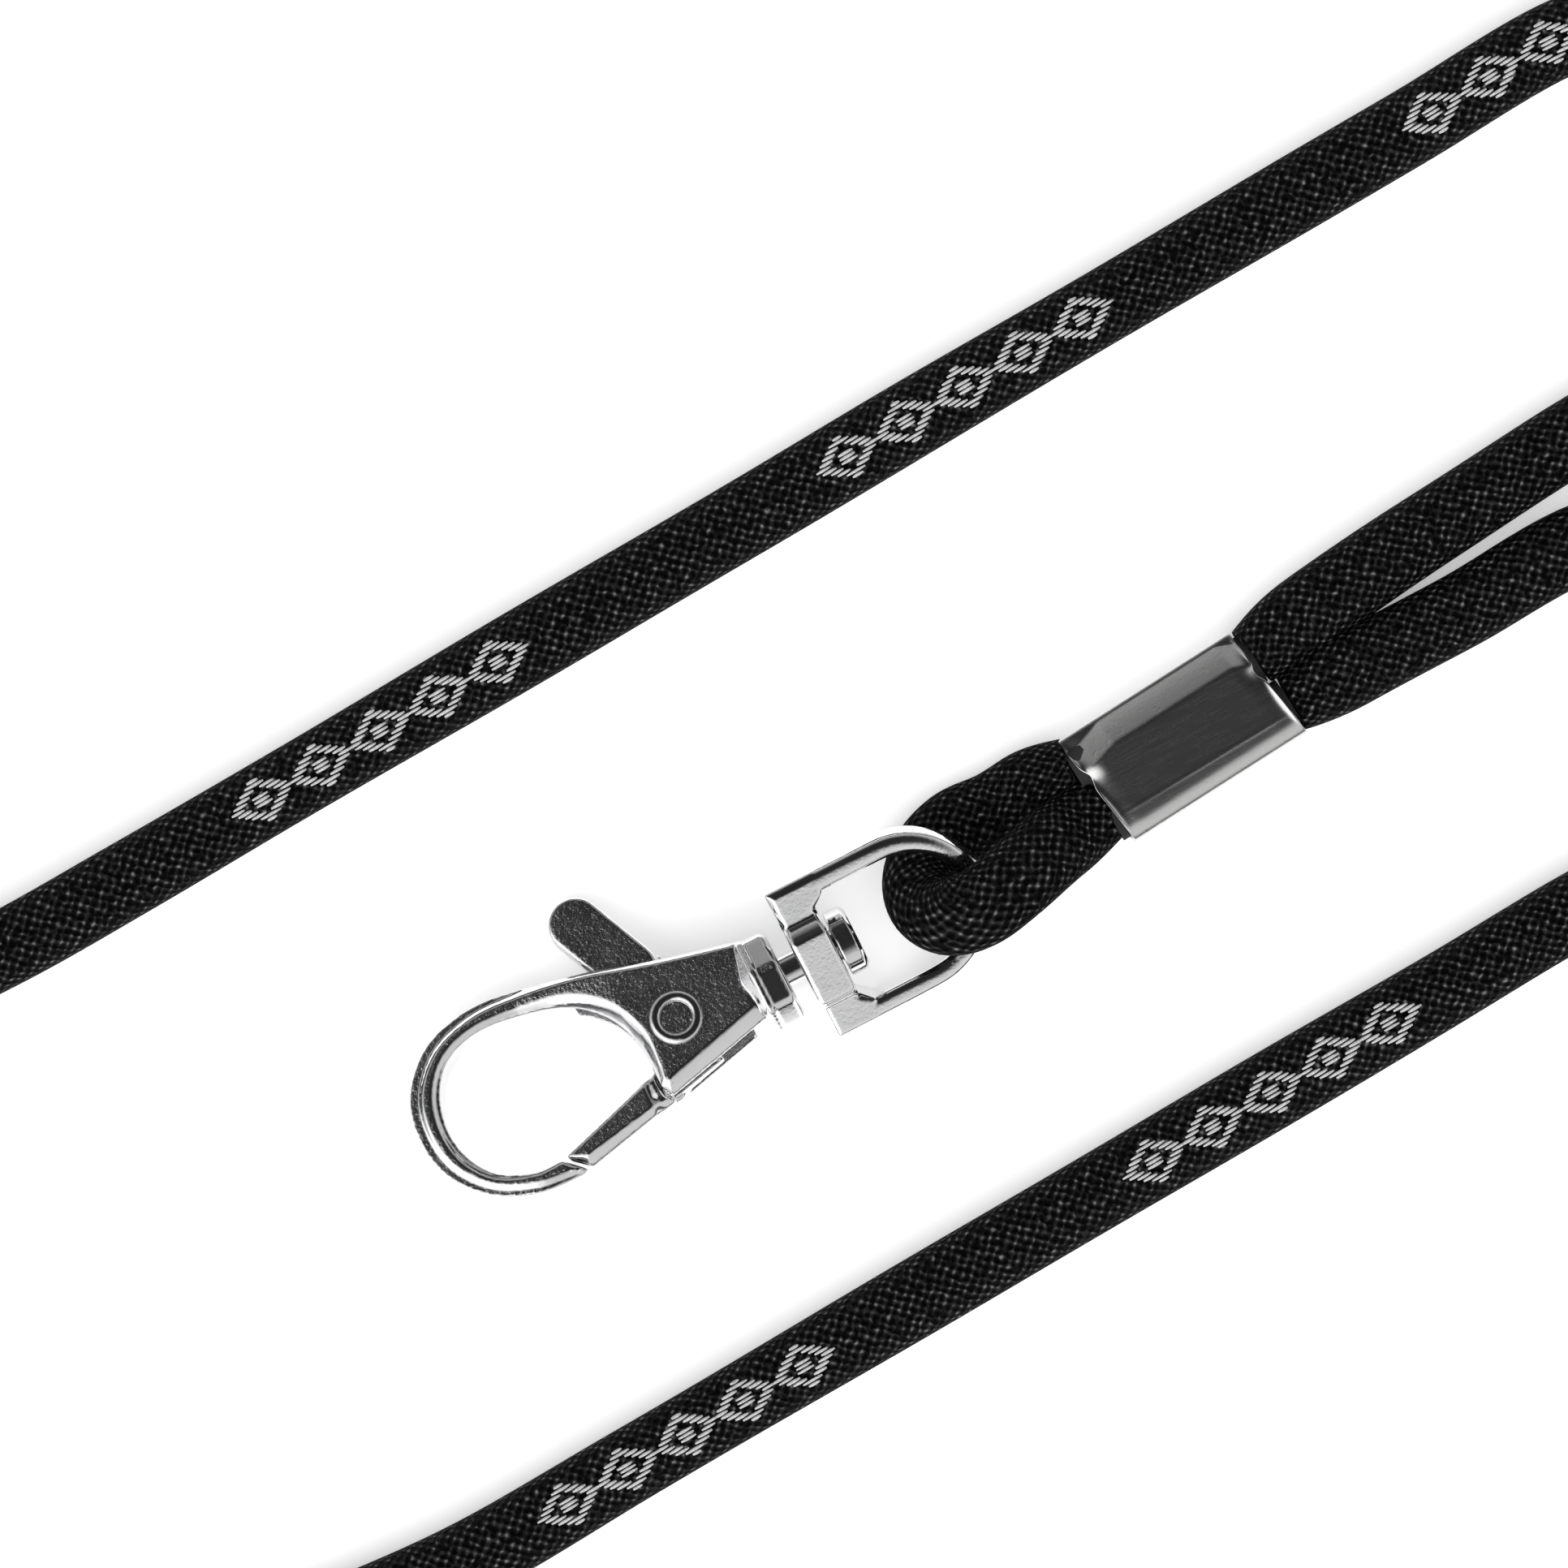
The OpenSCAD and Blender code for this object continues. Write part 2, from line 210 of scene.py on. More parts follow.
LOOP_ROUTE = [
    (-0.0072, 0.0018, 0.0022), (-0.010, 0.0019, 0.0018), (-0.013, 0.0015, 0.0015),
    (-0.0158, 0.0014, 0.0014), (-0.018, 0.0008, 0.0016), (-0.0194, -0.0005, 0.0025),
    (-0.0197, -0.0021, 0.004), (-0.0187, -0.0034, 0.0057), (-0.0166, -0.0038, 0.0065),
    (-0.0138, -0.0033, 0.0062), (-0.011, -0.0026, 0.0049), (-0.009, -0.0022, 0.0034),
    (-0.0069, -0.0017, 0.0023),
]


def coil_route():
    """Points of the flat coil, from the outer turn's top inwards, 16 a turn."""
    count = round(COIL_TURNS * 16)
    out = []
    for s in range(1, count + 1):
        turn = COIL_TURNS * s / count
        angle = math.pi / 2 + 2 * math.pi * turn
        radius = COIL_OUTER - COIL_PITCH * turn
        out.append(COIL_CENTRE + Vector((radius * math.cos(angle), radius * math.sin(angle), CORD_Z)))
    return out


NECK_ROUTE = [Vector(p) for p in UPPER_ROUTE] + coil_route()
NECK_ROUTE += [Vector(p) for p in COIL_EXIT + LOWER_ROUTE]


# ---------------------------------------------------------------- cords
def make_neck_cord():
    """The whole neck cord, from one crimp mouth through the stored coil to the other."""
    points, at = evenly(smooth_route(NECK_ROUTE), CORD_STEP)
    length = at[-1]
    rng = random.Random(4)
    wave = [rng.uniform(0, 2 * math.pi) for _ in range(2)]

    def section(i, angle):
        end = min(at[i], length - at[i]) / CORD_PINCH
        pinch = max(0.0, 1 - end) ** 2
        slack = 1 + 0.018 * math.sin(at[i] / 0.011 + wave[0])
        slack += 0.012 * math.sin(at[i] / 0.0047 + wave[1])
        half_w = (CORD_WIDTH / 2) * slack * (1 - 0.20 * pinch)
        half_t = (CORD_THICKNESS / 2) * (1 - 0.12 * pinch)
        c, s = math.cos(angle), math.sin(angle)
        # A limp tube lies a little flat, and fuller at the sides than an ellipse.
        full = fullness(c, s, CORD_FULLNESS)
        return half_w * c * full, half_t * s * full

    cord = sweep("neck_cord", points, section, CORD_SIDES)
    return cord, points, at, length


# The motif is a chain of small woven diamonds: short floats of light thread that lie
# along the cord, stacked across it.
MOTIF_PITCH = 0.0438
MOTIF_ANCHORS = ((-0.0021, 0.0269), (-0.0052, -0.0231))
PLAIN_AT_CRIMP = 0.047
DIAMONDS = 5
DIAMOND_HALF_LONG_MM = 2.2
DIAMOND_HALF_HIGH_MM = 1.6
OUTLINE_MM = 0.85
DOT_LONG_MM, DOT_HIGH_MM = 0.55, 0.42
ROW_PITCH_MM = 0.27
FLOAT_HALF_MM = 0.125
FLOAT_RINGS = 5


def motif_floats(across_mm):
    """Where the light thread shows along one diamond, at one row across the cord."""
    reach = DIAMOND_HALF_LONG_MM * (1 - abs(across_mm) / DIAMOND_HALF_HIGH_MM)
    if reach < OUTLINE_MM:
        return [(-max(reach, 0.3), max(reach, 0.3))]
    floats = [(-reach - 0.12, OUTLINE_MM - reach), (reach - OUTLINE_MM, reach + 0.12)]
    if abs(across_mm) < DOT_HIGH_MM:
        floats.append((-DOT_LONG_MM, DOT_LONG_MM))
    return floats


def motif_centres(points, at, length):
    """Distances along the cord of the motif's repeats, set by one on each long run."""
    def nearest(x, y):
        target = Vector((x, y, CORD_Z))
        return min(range(len(points)), key=lambda i: (points[i] - target).length)

    upper, lower = (at[nearest(*anchor)] for anchor in MOTIF_ANCHORS)
    half = DIAMONDS * DIAMOND_HALF_LONG_MM * MM
    change = lower - 3.5 * MOTIF_PITCH
    centres = [upper + k * MOTIF_PITCH for k in range(-3, 40)]
    centres = [c for c in centres if PLAIN_AT_CRIMP < c - half and c < change]
    more = [lower + k * MOTIF_PITCH for k in range(-3, 4)]
    return centres + [c for c in more if c + half < length - PLAIN_AT_CRIMP]


def make_motif(points, at, length):
    """Raised floats of light thread on top of the cord."""
    axes = frames(points)
    step = at[1] - at[0]
    verts, faces = [], []
    rng = random.Random(11)

    def on_top(s, across_mm, lift_mm):
        i = min(max(int(s / step), 0), len(points) - 2)
        p = points[i].lerp(points[i + 1], s / step - i)
        _, side, up = axes[i]
        x = across_mm * MM / (CORD_WIDTH / 2)
        rise = (CORD_THICKNESS / 2) * max(0.0, 1 - abs(x) ** CORD_FULLNESS) ** (1 / CORD_FULLNESS)
        return p + side * across_mm * MM + up * (rise + lift_mm * MM)

    def thread(s, low, high, across):
        first = len(verts)
        lift = rng.uniform(0.08, 0.13)
        wide = FLOAT_HALF_MM * rng.uniform(0.9, 1.12)
        low, high = low + rng.uniform(-0.07, 0.05), high + rng.uniform(-0.05, 0.07)
        for j in range(FLOAT_RINGS):
            share = j / (FLOAT_RINGS - 1)
            fat = 0.55 + 0.45 * math.sin(math.pi * share)
            for offset, height in ((-1, -0.05), (-0.5, lift), (0.5, lift), (1, -0.05)):
                place = across + offset * wide * fat
                verts.append(on_top(s + (low + (high - low) * share) * MM, place, height * fat))
        for j in range(FLOAT_RINGS - 1):
            a = first + 4 * j
            for k in range(3):
                faces.append((a + k, a + 4 + k, a + 5 + k, a + k + 1))
            faces.append((a + 3, a + 7, a + 4, a))
        faces.append((first, first + 1, first + 2, first + 3))
        last = first + 4 * (FLOAT_RINGS - 1)
        faces.append((last + 3, last + 2, last + 1, last))

    rows = int(DIAMOND_HALF_HIGH_MM / ROW_PITCH_MM)
    for centre in motif_centres(points, at, length):
        for diamond in range(DIAMONDS):
            middle = centre + (2 * diamond - DIAMONDS + 1) * DIAMOND_HALF_LONG_MM * MM
            for row in range(-rows, rows + 1):
                across = row * ROW_PITCH_MM
                for low, high in motif_floats(across):
                    thread(middle, low, high, across)
    return mesh_piece("woven_motif", verts, faces)


def make_hook_loop():
    """The short loop: one strand under the eye's arch, one over it. Widths are in mm."""
    points, at = evenly(smooth_route(LOOP_ROUTE), LOOP_STEP)
    length = at[-1]

    def section(i, angle):
        share = at[i] / length
        end = min(at[i], length - at[i]) / LOOP_PINCH
        pinch = max(0.0, 1 - end) ** 1.5
        # Wider over the arch, and spread where it lies on the surface before the bend.
        wide = 2.2 + 0.4 * min(1, max(0, (share - 0.35) / 0.25))
        wide += 0.35 * math.exp(-((share - 0.27) / 0.09) ** 2)
        half_w = wide * MM * (1 - (0.22 if share < 0.5 else 0.08) * pinch)
        half_t = 1.35 * MM * (1 + 0.18 * pinch)
        c, s = math.cos(angle), math.sin(angle)
        full = fullness(c, s, 2.3)
        return half_w * c * full, half_t * s * full

    return sweep("hook_loop_cord", points, section, LOOP_SIDES)


# ---------------------------------------------------------------- crimp
CRIMP_TURN = math.radians(5.5)
CRIMP_LEAN = 0.108
CRIMP_HALF_MM = 6.65
CRIMP_WIDTH_MM = 8.2
CRIMP_HEIGHT_MM = 4.4
CRIMP_SHEET_MM = 0.4
CREASE_MM = 1.0
MOUTH_START = 0.76
STRAND_BESIDE_MM, STRAND_HALF_LENGTH_MM = 1.86, 6.9
STRAND_HALF_WIDE_MM, STRAND_HALF_HIGH_MM = 1.78, 1.6


def make_crimped_strands():
    """The two squeezed strands through the crimp."""
    turn = Matrix.Rotation(CRIMP_TURN, 3, "Z")
    verts, faces = [], []
    sides, rings = 24, 9
    for across in (-STRAND_BESIDE_MM, STRAND_BESIDE_MM):
        first = len(verts)
        for i in range(rings):
            x = STRAND_HALF_LENGTH_MM * (2 * i / (rings - 1) - 1)
            for k in range(sides):
                a = 2 * math.pi * k / sides
                v = turn @ Vector((x - CRIMP_LEAN * across, across + STRAND_HALF_WIDE_MM * math.cos(a), 0))
                z = CRIMP_HEIGHT_MM / 2 + STRAND_HALF_HIGH_MM * math.sin(a)
                verts.append(Vector((v.x, v.y, z)) * MM)
        join_rings(faces, first, sides, rings)
    return mesh_piece("crimped_strands", verts, faces)


def crimp_outline(t):
    """Rounded rectangle of the sleeve by share of the way round, from the middle of its underside."""
    a = 2 * math.pi * t - math.pi / 2
    w, h = CRIMP_WIDTH_MM / 2, CRIMP_HEIGHT_MM / 2
    c, s = math.cos(a), math.sin(a)
    r = fullness(c / w, s / h, 7)
    return r * c, r * s


def past(value, width):
    """Grows smoothly from 0 as value passes 0, then one for one."""
    return width * math.log1p(math.exp(max(-30.0, min(30.0, value / width))))


def crimp_surface(u, t, inset):
    """A point of the sleeve: u from -1 to 1 along it, t round it, inset for its inner face."""
    y, z = crimp_outline(t)
    half_h = CRIMP_HEIGHT_MM / 2
    top = max(0.0, z / half_h)
    end = abs(u)
    near_end = max(0.0, (end - MOUTH_START) / (1 - MOUTH_START))
    # The sheet is rolled down towards both sides; the flat between is uneven.
    upper_flat = 2.0 - 0.8 * max(0.0, -u - 0.55) / 0.45 - 0.5 * max(0.0, u - 0.8) / 0.2
    lower_flat = 3.05
    roll = 0.64 * past(y - upper_flat, 0.06) + 0.22 * past(-y - lower_flat, 0.06)
    ridge = 0.035 * math.exp(-((y + 2.25 + 0.15 * u) / 0.10) ** 2) * (1 - near_end)
    step = 0.10 * past(-y - 2.3, 0.05)
    # Two strands of different width under each mouth, with a crease between.
    side = CRIMP_WIDTH_MM / 2
    strand = (y - CREASE_MM) / (side - CREASE_MM) if y > CREASE_MM else (CREASE_MM - y) / (side + CREASE_MM)
    lobe = 0.5 - 0.5 * math.cos(2 * math.pi * min(1.0, strand))
    crease = math.exp(-((y - CREASE_MM) / 0.6) ** 2)
    z -= top * (roll + step - ridge + near_end ** 2 * (0.16 + 0.30 * crease - 0.10 * lobe))
    z += top * near_end ** 8 * (0.10 + 0.24 * lobe)
    y *= 1 - inset / side
    z *= 1 - inset / half_h
    x = u * (CRIMP_HALF_MM - top * end ** 8 * (0.10 + 0.25 * crease)) - CRIMP_LEAN * y
    v = Matrix.Rotation(CRIMP_TURN, 3, "Z") @ Vector((x, y, 0))
    return Vector((v.x, v.y, max(z + half_h, inset))) * MM


def make_crimp():
    """Folded sheet sleeve: flat on top and rolled down at the sides, with scalloped, flared mouths.
    It has an outer and an inner face, joined at both mouths."""
    around, along = 320, 96
    verts, faces = [], []
    layers = []
    for inset in (0.0, CRIMP_SHEET_MM):
        first = len(verts)
        layers.append(first)
        for i in range(along + 1):
            u = -1 + 2 * i / along
            for k in range(around):
                verts.append(crimp_surface(u, k / around, inset))
    for i in range(along):
        for k in range(around):
            j = (k + 1) % around
            a, b = layers[0] + i * around, layers[0] + (i + 1) * around
            faces.append((a + k, a + j, b + j, b + k))
            a, b = layers[1] + i * around, layers[1] + (i + 1) * around
            faces.append((a + j, a + k, b + k, b + j))
    for k in range(around):
        j = (k + 1) % around
        a, b = layers[0], layers[1]
        faces.append((a + j, a + k, b + k, b + j))
        a, b = layers[0] + along * around, layers[1] + along * around
        faces.append((a + k, a + j, b + j, b + k))
    return mesh_piece("crimp_shell", verts, faces)


# ---------------------------------------------------------------- coil tie
TIE_ANGLE = math.radians(120)
TIE_WIDTH = 0.006
TIE_SHEET = 0.0006
TIE_DIP = 0.00022
TIE_INNER_WIDE, TIE_INNER_HIGH = 0.93, 0.74


def make_tie():
    """Narrow wrap round the three turns at TIE_ANGLE; its top dips a little between them."""
    inside = COIL_OUTER - COIL_TURNS * COIL_PITCH - CORD_WIDTH / 2 + 0.0006
    outside = COIL_OUTER + CORD_WIDTH / 2 - 0.0003
    middle = (inside + outside) / 2
    first_turn = COIL_OUTER - COIL_PITCH * (TIE_ANGLE - math.pi / 2) / (2 * math.pi)
    radii = [first_turn - COIL_PITCH * k for k in range(3)]

    def outer(t):
        """Section of the wrap's outer face: radius and height."""
        a = 2 * math.pi * t
        w, h = (outside - inside) / 2 + TIE_SHEET, CORD_Z + TIE_SHEET * 0.4
        c, s = math.cos(a), math.sin(a)
        r = fullness(c / w, s / h, 5)
        radius, z = middle + r * c, r * s
        if s > 0:
            dip = min(abs(radius - q) for q in radii) / (COIL_PITCH / 2)
            z -= TIE_DIP * min(1, dip) ** 2 * min(1, 3 * s)
        return radius, max(z + CORD_Z, 0.00002)

    count, wide = 120, 12
    turn = Matrix.Rotation(TIE_ANGLE, 3, "Z")
    verts, faces = [], []
    for layer in (0, 1):
        for i in range(count):
            radius, z = outer(i / count)
            if layer:
                radius = middle + (radius - middle) * TIE_INNER_WIDE
                z = CORD_Z + (z - CORD_Z) * TIE_INNER_HIGH
            for k in range(wide + 1):
                y = TIE_WIDTH / 2 * (2 * k / wide - 1)
                v = turn @ Vector((radius, y, 0))
                verts.append(COIL_CENTRE + Vector((v.x, v.y, z)))
    row = wide + 1
    inner = count * row
    for i in range(count):
        a, b = i * row, (i + 1) % count * row
        for k in range(wide):
            faces.append((a + k, b + k, b + k + 1, a + k + 1))
            faces.append((inner + a + k + 1, inner + b + k + 1, inner + b + k, inner + a + k))
        for k, flip in ((0, True), (wide, False)):
            quad = (a + k, b + k, inner + b + k, inner + a + k)
            faces.append(quad[::-1] if flip else quad)
    return mesh_piece("coil_wrap", verts, faces)


# ---------------------------------------------------------------- materials
class Nodes:
    """Small helper that adds nodes to one material and links them."""

    def __init__(self, name):
        self.material = bpy.data.materials.new(name)
        self.material.use_nodes = True
        self.tree = self.material.node_tree
        self.shader = self.tree.nodes["Principled BSDF"]

    def add(self, kind, **inputs):
        node = self.tree.nodes.new(kind)
        for key, value in inputs.items():
            self.put(node, key, value)
        return node

    def put(self, node, key, value):
        socket = node.inputs[int(key[1:])] if key[0] == "i" and key[1:].isdigit() else node.inputs[key]
        if isinstance(value, bpy.types.NodeSocket):
            self.tree.links.new(value, socket)
        else:
            socket.default_value = value

    def math(self, operation, a, b=0.0):
        node = self.add("ShaderNodeMath", i0=a, i1=b)
        node.operation = operation
        return node.outputs[0]

    def scaled(self, value, gain, base):
        """value * gain + base"""
        node = self.add("ShaderNodeMath", i0=value, i1=gain, i2=base)
        node.operation = "MULTIPLY_ADD"
        return node.outputs[0]

    def ramp(self, value, stops):
        node = self.add("ShaderNodeValToRGB", i0=value)
        ramp = node.color_ramp
        while len(ramp.elements) < len(stops):
            ramp.elements.new(0.5)
        for element, (at, colour) in zip(ramp.elements, stops):
            element.position = at
            element.color = colour
        return node.outputs[0]

    def bump(self, height, strength, distance):
        node = self.add("ShaderNodeBump", Height=height, Strength=strength, Distance=distance)
        return node.outputs[0]

    def wear_metal(self, colour, rough):
        """The shader's own settings for bare metal."""
        self.put(self.shader, "Base Color", colour)
        self.put(self.shader, "Metallic", 1.0)
        self.put(self.shader, "Roughness", rough)


def grey(v):
    """A very slightly cool grey."""
    return (v, v, v * 1.01, 1)


def woven(name, pitch_along, pitch_around, dark, light):
    """Woven polyester on a tube's own map: staggered thread crowns with pores, as bump and as painted shade
    and painted highlight in the colour.
    Pitches are in mm; dark and light are the tones of the painted shade in the pores and of the painted
    highlight on the crowns."""
    n = Nodes(name)
    uv = n.add("ShaderNodeUVMap")
    uv.uv_map = "cord_map"
    wobble = n.add("ShaderNodeTexNoise", Vector=uv.outputs[0], Scale=1.3, Detail=2.0)
    shift = n.add("ShaderNodeVectorMath", i0=wobble.outputs["Color"], i1=(0.5, 0.5, 0.5))
    shift.operation = "SUBTRACT"
    small = n.add("ShaderNodeVectorMath", i0=shift.outputs[0])
    small.operation = "SCALE"
    n.put(small, "Scale", 0.42)
    place = n.add("ShaderNodeVectorMath", i0=uv.outputs[0], i1=small.outputs[0])
    split = n.add("ShaderNodeSeparateXYZ", Vector=place.outputs[0])
    along = n.math("COSINE", n.math("MULTIPLY", split.outputs[0], 2 * math.pi / pitch_along))
    around = n.math("COSINE", n.math("MULTIPLY", split.outputs[1], 2 * math.pi / pitch_around))
    crown = n.scaled(n.math("MULTIPLY", along, around), 0.5, 0.5)
    fibre = n.add("ShaderNodeTexNoise", Vector=place.outputs[0], Scale=5.0, Detail=3.0, Roughness=0.6)
    patch = n.add("ShaderNodeTexNoise", Vector=place.outputs[0], Scale=2.1, Detail=1.5)
    uneven = n.ramp(patch.outputs["Fac"], [(0.36, grey(0.05)), (0.66, grey(1.0))])
    height = n.math("ADD", crown, n.math("MULTIPLY", fibre.outputs["Fac"], 0.7))
    # Painted light: the crowns are coloured lighter as a painted highlight and the pores darker as painted
    # shade, on top of the bump.
    painted_crown_light = n.math("MULTIPLY", n.math("POWER", crown, 2.4), uneven)
    between = grey((dark + light) * 0.16)
    colour = n.ramp(painted_crown_light, [(0.0, grey(dark)), (0.35, between), (1.0, grey(light))])
    normal = n.bump(height, 1.0, 0.00030)
    rough = n.scaled(fibre.outputs["Fac"], 0.25, 0.55)
    n.put(n.shader, "Base Color", colour)
    n.put(n.shader, "Roughness", rough)
    n.put(n.shader, "Normal", normal)
    n.put(n.shader, "Specular IOR Level", 0.05)
    return n.material


def thread_material():
    """Light grey motif thread."""
    n = Nodes("motif_thread")
    place = n.add("ShaderNodeTexCoord").outputs["Object"]
    fibre = n.add("ShaderNodeTexNoise", Vector=place, Scale=9000.0, Detail=2.0)
    colour = n.ramp(fibre.outputs["Fac"], [(0.3, grey(0.36)), (0.7, grey(0.66))])
    n.put(n.shader, "Base Color", colour)
    n.put(n.shader, "Roughness", 0.7)
    n.put(n.shader, "Normal", n.bump(fibre.outputs["Fac"], 0.5, 0.00004))
    n.put(n.shader, "Sheen Weight", 0.2)
    return n.material


def cast_nickel(name, lean, grain=1.0, tint=0.74):
    """Nickel plate on a die casting: grained on the flat faces, polished on the edges."""
    n = Nodes(name)
    coords = n.add("ShaderNodeTexCoord")
    face = Vector((0, math.sin(lean), math.cos(lean)))
    facing = n.add("ShaderNodeVectorMath", i0=coords.outputs["Normal"], i1=tuple(face))
    facing.operation = "DOT_PRODUCT"
    flat = n.math("ABSOLUTE", facing.outputs["Value"])
    mask = n.add("ShaderNodeMapRange", Value=flat)
    n.put(mask, "From Min", 0.955)
    n.put(mask, "From Max", 0.995)
    place = coords.outputs["Object"]
    grains = n.add("ShaderNodeTexNoise", Vector=place, Scale=4200.0, Detail=2.5, Roughness=0.6)
    specks = n.add("ShaderNodeTexNoise", Vector=place, Scale=2300.0, Detail=3.0, Roughness=0.7)
    clouds = n.add("ShaderNodeTexNoise", Vector=place, Scale=420.0, Detail=2.0)
    height = n.math("ADD", grains.outputs["Fac"], n.math("MULTIPLY", specks.outputs["Fac"], 1.2))
    strength = n.scaled(mask.outputs[0], 0.62 * grain, 0.03)
    dull = n.math("MULTIPLY", clouds.outputs["Fac"], n.math("MULTIPLY", mask.outputs[0], 0.16 * grain))
    rough = n.scaled(mask.outputs[0], 0.08, n.math("ADD", dull, 0.08))
    colour = n.ramp(clouds.outputs["Fac"], [(0.3, grey(tint * 0.93)), (0.7, grey(tint))])
    n.wear_metal(colour, rough)
    n.put(n.shader, "Normal", n.bump(height, strength, 0.00009))
    return n.material


def satin_sheet():
    """Bright rolled sheet: fine brushing along the sleeve and a few pits."""
    n = Nodes("crimp_sheet")
    coords = n.add("ShaderNodeTexCoord").outputs["Object"]
    mapping = n.add("ShaderNodeMapping", Vector=coords)
    n.put(mapping, "Rotation", (0, 0, -CRIMP_TURN))
    n.put(mapping, "Scale", (500, 9000, 9000))
    brush = n.add("ShaderNodeTexNoise", Vector=mapping.outputs[0], Scale=1.0, Detail=3.0, Roughness=0.6)
    pits = n.add("ShaderNodeTexNoise", Vector=coords, Scale=2600.0, Detail=2.0)
    pit = n.ramp(pits.outputs["Fac"], [(0.60, grey(0)), (0.72, grey(1))])
    rough = n.scaled(brush.outputs["Fac"], 0.12, 0.20)
    brushed = n.math("MULTIPLY", brush.outputs["Fac"], 0.35)
    height = n.math("SUBTRACT", brushed, n.math("MULTIPLY", pit, 0.5))
    n.wear_metal((0.66, 0.66, 0.655, 1), rough)
    n.put(n.shader, "Normal", n.bump(height, 0.22, 0.00003))
    return n.material


def wrap_material():
    """Matt black napped fabric."""
    n = Nodes("wrap_fabric")
    coords = n.add("ShaderNodeTexCoord").outputs["Object"]
    nap = n.add("ShaderNodeTexVoronoi", Vector=coords, Scale=2600.0)
    colour = n.ramp(nap.outputs["Distance"], [(0.0, grey(0.035)), (0.6, grey(0.008))])
    n.put(n.shader, "Base Color", colour)
    n.put(n.shader, "Roughness", 0.85)
    n.put(n.shader, "Normal", n.bump(nap.outputs["Distance"], 0.7, 0.00012))
    n.put(n.shader, "Sheen Weight", 0.25)
    return n.material


def wire_material():
    """Drawn spring wire."""
    n = Nodes("spring_wire")
    coords = n.add("ShaderNodeTexCoord").outputs["Object"]
    draw = n.add("ShaderNodeTexNoise", Vector=coords, Scale=7000.0, Detail=2.0)
    n.wear_metal((0.5, 0.5, 0.49, 1), n.scaled(draw.outputs["Fac"], 0.15, 0.2))
    return n.material


def wear(piece, material):
    piece.data.materials.clear()
    piece.data.materials.append(material)


# ---------------------------------------------------------------- castings, drawn in mm
# Drawn with the swivel axis as X and the rivet at 0, then rolled and put in place.
OUTLINE_STEP = 0.1
AXIS_PLACE_MM = Vector((-37.3, -1.8, 3.75))
HOOK_ROLL = math.radians(-14)
EYE_ROLL = math.radians(24)

# Outline points of the hook: x, y and the width of the rounding there.
OUTER_EDGE = [
    (5.6, 2.8, 0.45), (0, 4.25, 0.45), (-4.9, 5.8, 0.5), (-9, 6.75, 0.7), (-12.2, 6.95, 0.85),
    (-15.4, 6, 0.95), (-17.7, 3.6, 1.0), (-18.4, 0.6, 1.0), (-17.8, -2.3, 0.95), (-15.8, -4.7, 0.85),
    (-13, -5.95, 0.75), (-10.2, -6.2, 0.6), (-9.4, -6.05, 0.35)]
INNER_EDGE = [
    (-10.7, -4.75, 0.3), (-12.6, -4.6, 0.4), (-14.8, -3.6, 0.5), (-16.05, -1.8, 0.6), (-16.45, 0.4, 0.6),
    (-15.9, 2.75, 0.6), (-14.4, 4.6, 0.5), (-11.9, 5.35, 0.5), (-8.8, 5, 0.55), (-6, 4.05, 0.8),
    (-4, 2.3, 0.9), (-3, 0, 0.9), (-2.8, -2.4, 0.6)]
LOWER_EDGE = [(-2.9, -3.5, 0.5), (-2.4, -4.3, 0.9), (5.6, -2.4, 1.0)]
SLOT_LEFT, SLOT_RIGHT, SLOT_HALF = -5.1, 4.0, 1.2
CHEEK_HALF, WIRE_HALF = 2.4, 1.6
FILL_HALF = 1.3
NECK_END = 5.6
COLLAR = [
    (4.7, 2.3), (5.35, 3.35), (5.55, 3.6), (5.85, 3.6), (6.0, 3.42), (7.1, 3.42), (7.35, 3.3),
    (7.5, 3.05)]
FACET = math.pi / 8
FACET_CORNER = 0.975


def even_loop(points, step=OUTLINE_STEP):
    """A closed outline with points about one step apart; each keeps its rounding width."""
    closed = [Vector(p) for p in points] + [Vector(points[0])]
    return evenly(closed, step)[0][:-1]


def plate(verts, faces, loop, low, high, front=1.0, back=1.0, grid=0.17):
    """Adds a closed plate with a rounded edge. low and high give its faces at a point;
    front and back say how deep the rounding goes for its width."""
    count = len(loop)
    tree = KDTree(count)
    for i, p in enumerate(loop):
        tree.insert((p.x, p.y, 0), i)
    tree.balance()
    inward = []
    for i in range(count):
        ahead = loop[(i + 1) % count] - loop[i - 1]
        inward.append(Vector((-ahead.y, ahead.x, 0)))
    spots = [p.xy for p in loop]
    left, right = min(p.x for p in loop), max(p.x for p in loop)
    bottom, top = min(p.y for p in loop), max(p.y for p in loop)
    for row in range(int((top - bottom) / grid) + 1):
        for column in range(int((right - left) / grid) + 1):
            spot = Vector((left + (column + 0.5 * (row % 2)) * grid, bottom + row * grid, 0))
            near, i, distance = tree.find(spot)
            if distance > 0.45 * grid and (spot - near).dot(inward[i]) > 0:
                spots.append(spot.xy)
    flat, _, tris, _, _, _ = delaunay_2d_cdt(spots, [], [list(range(count))], 1, 1e-7)
    first, size = len(verts), len(flat)
    drops = []
    for q in flat:
        _, i, distance = tree.find((q.x, q.y, 0))
        width = loop[i].z
        drops.append(width * max(0.0, 1 - distance / width) ** 1.3)
    verts.extend(Vector((q.x, q.y, high(q.x, q.y) - front * drop)) for q, drop in zip(flat, drops))
    verts.extend(Vector((q.x, q.y, low(q.x, q.y) + back * drop)) for q, drop in zip(flat, drops))
    used = set()
    for tri in tris:
        faces.append(tuple(first + i for i in tri))
        faces.append(tuple(first + size + i for i in reversed(tri)))
        used.update(zip(tri, tri[1:] + tri[:1]))
    for i, j in used:
        if (j, i) not in used:
            faces.append((first + j, first + i, first + size + i, first + size + j))


